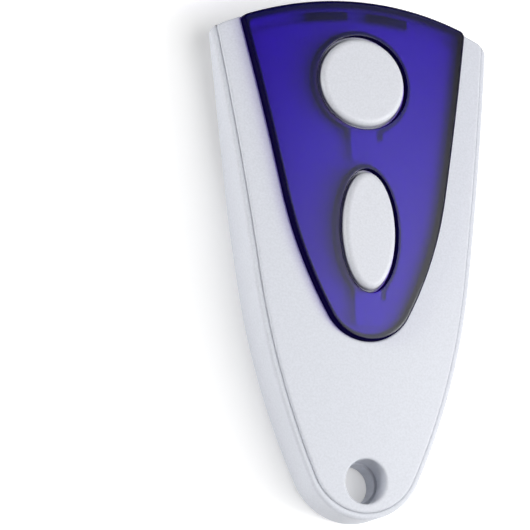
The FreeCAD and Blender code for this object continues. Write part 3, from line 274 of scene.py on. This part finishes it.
def tinted(name, lost_per_mm, gloss, matt, wall_shade_colour, wall_share, hung_shade_far, hung_shade_near, hung_shade_share):
    """Clear plastic with a tint all through it, satin above and matt below.

    Its upright walls carry a near-black painted shade in place of the dark look of clear walls.
    Those of the button holes stop lamp light, the outer ones only a little of it.
    The walls that hang under it carry a dark painted shade, lighter near the buttons.
    """
    shade = Shade(name)
    depth = depth_under_crown(shade)
    near = near_buttons(shade)
    skin = shade.add("BsdfPrincipled", IOR=COVER_IOR)
    skin.inputs["Base Color"].default_value = (1, 1, 1, 1)
    skin.inputs["Transmission Weight"].default_value = 1
    shade.join(step(shade, depth, *NEAR_UNDERSIDE, gloss, matt), skin.inputs["Roughness"])
    # Painted shade: a dark diffuse over the walls that hang under the cover, lighter near the buttons
    hung = shade.add("BsdfDiffuse")
    hung_shade_colour = shade.add("Mix", data_type="RGBA")
    for socket, colour in zip(MIX_COLOURS, (hung_shade_far, hung_shade_near)):
        hung_shade_colour.inputs[socket].default_value = (*colour, 1)
    shade.join(near, hung_shade_colour.inputs[0])
    shade.join(hung_shade_colour.outputs[MIX_COLOUR], hung.inputs["Color"])
    share = step(shade, depth, *HUNG_START, 0, hung_shade_share)
    seen = blend(shade, share, skin.outputs["BSDF"], hung.outputs["BSDF"])
    clear = shade.add("BsdfTransparent")
    path = shade.add("LightPath")
    lit = blend(shade, path.outputs["Is Shadow Ray"], seen, clear.outputs["BSDF"])
    # Painted shade: the upright walls are a near-black diffuse instead of clear plastic
    wall = shade.add("BsdfDiffuse", Color=(*wall_shade_colour, 1))
    to_lamp = step(shade, near, 0, 1, wall_share * WALL_SHADE, wall_share)
    stopped = shade.add("Mix", data_type="FLOAT")
    stopped.inputs[MIX_NUMBERS[0]].default_value = wall_share
    shade.join(to_lamp, stopped.inputs[MIX_NUMBERS[1]])
    shade.join(path.outputs["Is Shadow Ray"], stopped.inputs[0])
    edge = times(shade, upright(shade, depth), stopped.outputs[0])
    shade.surface(blend(shade, edge, lit, wall.outputs["BSDF"]))
    most = max(lost_per_mm)
    body = shade.add("VolumeAbsorption", Density=most / MM)
    body.inputs["Color"].default_value = (*(1 - lost / most for lost in lost_per_mm), 1)
    shade.join(body.outputs["Volume"], shade.output.inputs["Volume"])
    return shade.material


COVER = tinted(
    "tinted_cover_plastic",
    lost_per_mm=(1.42, 2.4, 0.39),
    gloss=0.28,
    matt=0.6,
    # Near-black painted shade on the cover's upright walls
    wall_shade_colour=(0.003, 0.001, 0.03),
    wall_share=0.97,
    # Dark painted shade on the walls under the cover, lighter near the buttons
    hung_shade_far=(0.10, 0.06, 0.16),
    hung_shade_near=(0.4, 0.3, 0.45),
    hung_shade_share=0.7,
)
SHELL = moulded("pale_shell_plastic", (0.70, 0.72, 0.78), 0.45, contrast=0.055, soft_edge=0.5 * MM)
BUTTON = moulded("pale_button_plastic", (0.72, 0.735, 0.79), 0.42, contrast=0.055)
FINISHES = {
    "shell_plastic": SHELL,
    "cover_plastic": COVER,
    "button_plastic": BUTTON,
    "cell_steel": moulded("cell_steel", (0.72, 0.72, 0.70), 0.3, Metallic=1.0),
    "cell_gasket": moulded("cell_gasket", (0.05, 0.05, 0.055), 0.5),
    "contact_metal": moulded("contact_metal", (0.75, 0.73, 0.69), 0.25, Metallic=1.0),
    "board_laminate": moulded("board_laminate", (0.02, 0.12, 0.05), 0.35, scale=1200.0, contrast=0.15),
    "chip_resin": moulded("chip_resin", (0.02, 0.02, 0.022), 0.6),
    "capacitor_ceramic": moulded("capacitor_ceramic", (0.42, 0.28, 0.16), 0.5),
    "tinned_metal": moulded("tinned_metal", (0.72, 0.72, 0.71), 0.35, Metallic=1.0),
    "spring_metal": moulded("spring_metal", (0.66, 0.65, 0.62), 0.3, Metallic=1.0),
    "copper": moulded("copper", (0.72, 0.36, 0.2), 0.35, Metallic=1.0),
    "screw_steel": moulded("screw_steel", (0.5, 0.5, 0.51), 0.35, Metallic=1.0),
    "switch_plastic": moulded("switch_plastic", (0.03, 0.03, 0.032), 0.5),
    "plunger_plastic": moulded("plunger_plastic", (0.55, 0.52, 0.46), 0.5),
    "lens_resin": moulded("lens_resin", (0.75, 0.12, 0.08), 0.2),
}


def dress_nodes():
    """Give each node the finish of its material slot."""
    for part in frame["record"]["subparts"]:
        node = nodes[part["node"]]
        node.data.materials.clear()
        node.data.materials.append(FINISHES[part["material_slot"]])


dress_nodes()

# Stage: a pale floor, which shows white to the camera and keeps the object's shadow

FLOOR_SIDE = 4.0
FLOOR_WHITE = 0.9
FLOOR_GLOW = 0.32


def make_floor():
    """Square of pale paper that glows a little to the camera, mirrors and clear pieces."""
    mesh = bpy.data.meshes.new("floor")
    half = FLOOR_SIDE / 2
    corners = [(-half, -half, 0), (half, -half, 0), (half, half, 0), (-half, half, 0)]
    mesh.from_pydata(corners, [], [(0, 1, 2, 3)])
    floor = bpy.data.objects.new("floor", mesh)
    shade = Shade("floor_paper")
    paper = shade.add("BsdfDiffuse", Color=(FLOOR_WHITE, FLOOR_WHITE, FLOOR_WHITE, 1))
    glow = shade.add("Emission", Color=(1, 1, 1, 1))
    path = shade.add("LightPath")
    seen = shade.add("Math", operation="MAXIMUM")
    seen_too = shade.add("Math", operation="MAXIMUM")
    shade.join(path.outputs["Is Camera Ray"], seen.inputs[0])
    shade.join(path.outputs["Is Glossy Ray"], seen.inputs[1])
    shade.join(seen.outputs["Value"], seen_too.inputs[0])
    shade.join(path.outputs["Is Transmission Ray"], seen_too.inputs[1])
    share = shade.add("Math", operation="MULTIPLY")
    share.inputs[1].default_value = FLOOR_GLOW
    shade.join(seen_too.outputs["Value"], share.inputs[0])
    shade.join(share.outputs["Value"], glow.inputs["Strength"])
    both = shade.add("AddShader")
    shade.join(paper.outputs["BSDF"], both.inputs[0])
    shade.join(glow.outputs["Emission"], both.inputs[1])
    shade.surface(both.outputs["Shader"])
    mesh.materials.append(shade.material)
    scene.collection.objects.link(floor)


BRIGHT_SIDE = Vector((0.5, -0.2, 0.84)).normalized()
BRIGHT_INNER = math.radians(12)
BRIGHT_OUTER = math.radians(42)
BRIGHT_LIGHT = 2.7
DOME_LIGHT = 0.06


def make_world():
    """Dim dome with one wide bright side, and white behind all that the camera sees."""
    world = bpy.data.worlds.new("studio")
    world.use_nodes = True
    tree = world.node_tree
    tree.nodes.clear()
    light = tree.nodes.new("ShaderNodeBackground")
    light.inputs["Color"].default_value = (1, 1, 1, 1)
    place = tree.nodes.new("ShaderNodeTexCoord")
    toward = tree.nodes.new("ShaderNodeVectorMath")
    toward.operation = "DOT_PRODUCT"
    toward.inputs[1].default_value = BRIGHT_SIDE
    tree.links.new(place.outputs["Generated"], toward.inputs[0])
    glow = tree.nodes.new("ShaderNodeMapRange")
    glow.interpolation_type = "SMOOTHSTEP"
    glow.inputs["From Min"].default_value = math.cos(BRIGHT_OUTER)
    glow.inputs["From Max"].default_value = math.cos(BRIGHT_INNER)
    glow.inputs["To Min"].default_value = DOME_LIGHT
    glow.inputs["To Max"].default_value = BRIGHT_LIGHT
    tree.links.new(toward.outputs["Value"], glow.inputs["Value"])
    tree.links.new(glow.outputs["Result"], light.inputs["Strength"])
    backdrop = tree.nodes.new("ShaderNodeBackground")
    backdrop.inputs["Color"].default_value = (1, 1, 1, 1)
    backdrop.inputs["Strength"].default_value = 1.0
    path = tree.nodes.new("ShaderNodeLightPath")
    mix = tree.nodes.new("ShaderNodeMixShader")
    output = tree.nodes.new("ShaderNodeOutputWorld")
    tree.links.new(path.outputs["Is Camera Ray"], mix.inputs["Fac"])
    tree.links.new(light.outputs["Background"], mix.inputs[1])
    tree.links.new(backdrop.outputs["Background"], mix.inputs[2])
    tree.links.new(mix.outputs["Shader"], output.inputs["Surface"])
    scene.world = world


def make_lamp(name, place, side, watts):
    """Square soft lamp that points at the object."""
    data = bpy.data.lights.new(name, "AREA")
    data.shape = "SQUARE"
    data.size = side
    data.energy = watts
    lamp = bpy.data.objects.new(name, data)
    lamp.location = Vector(place)
    lamp.rotation_euler = (-Vector(place)).to_track_quat("-Z", "Y").to_euler()
    scene.collection.objects.link(lamp)


make_floor()
make_world()
make_lamp("key_lamp", place=(0.6, -0.15, 0.42), side=0.25, watts=2.55)
make_lamp("side_lamp", place=(-0.7, 0.1, 0.16), side=0.3, watts=3.1)
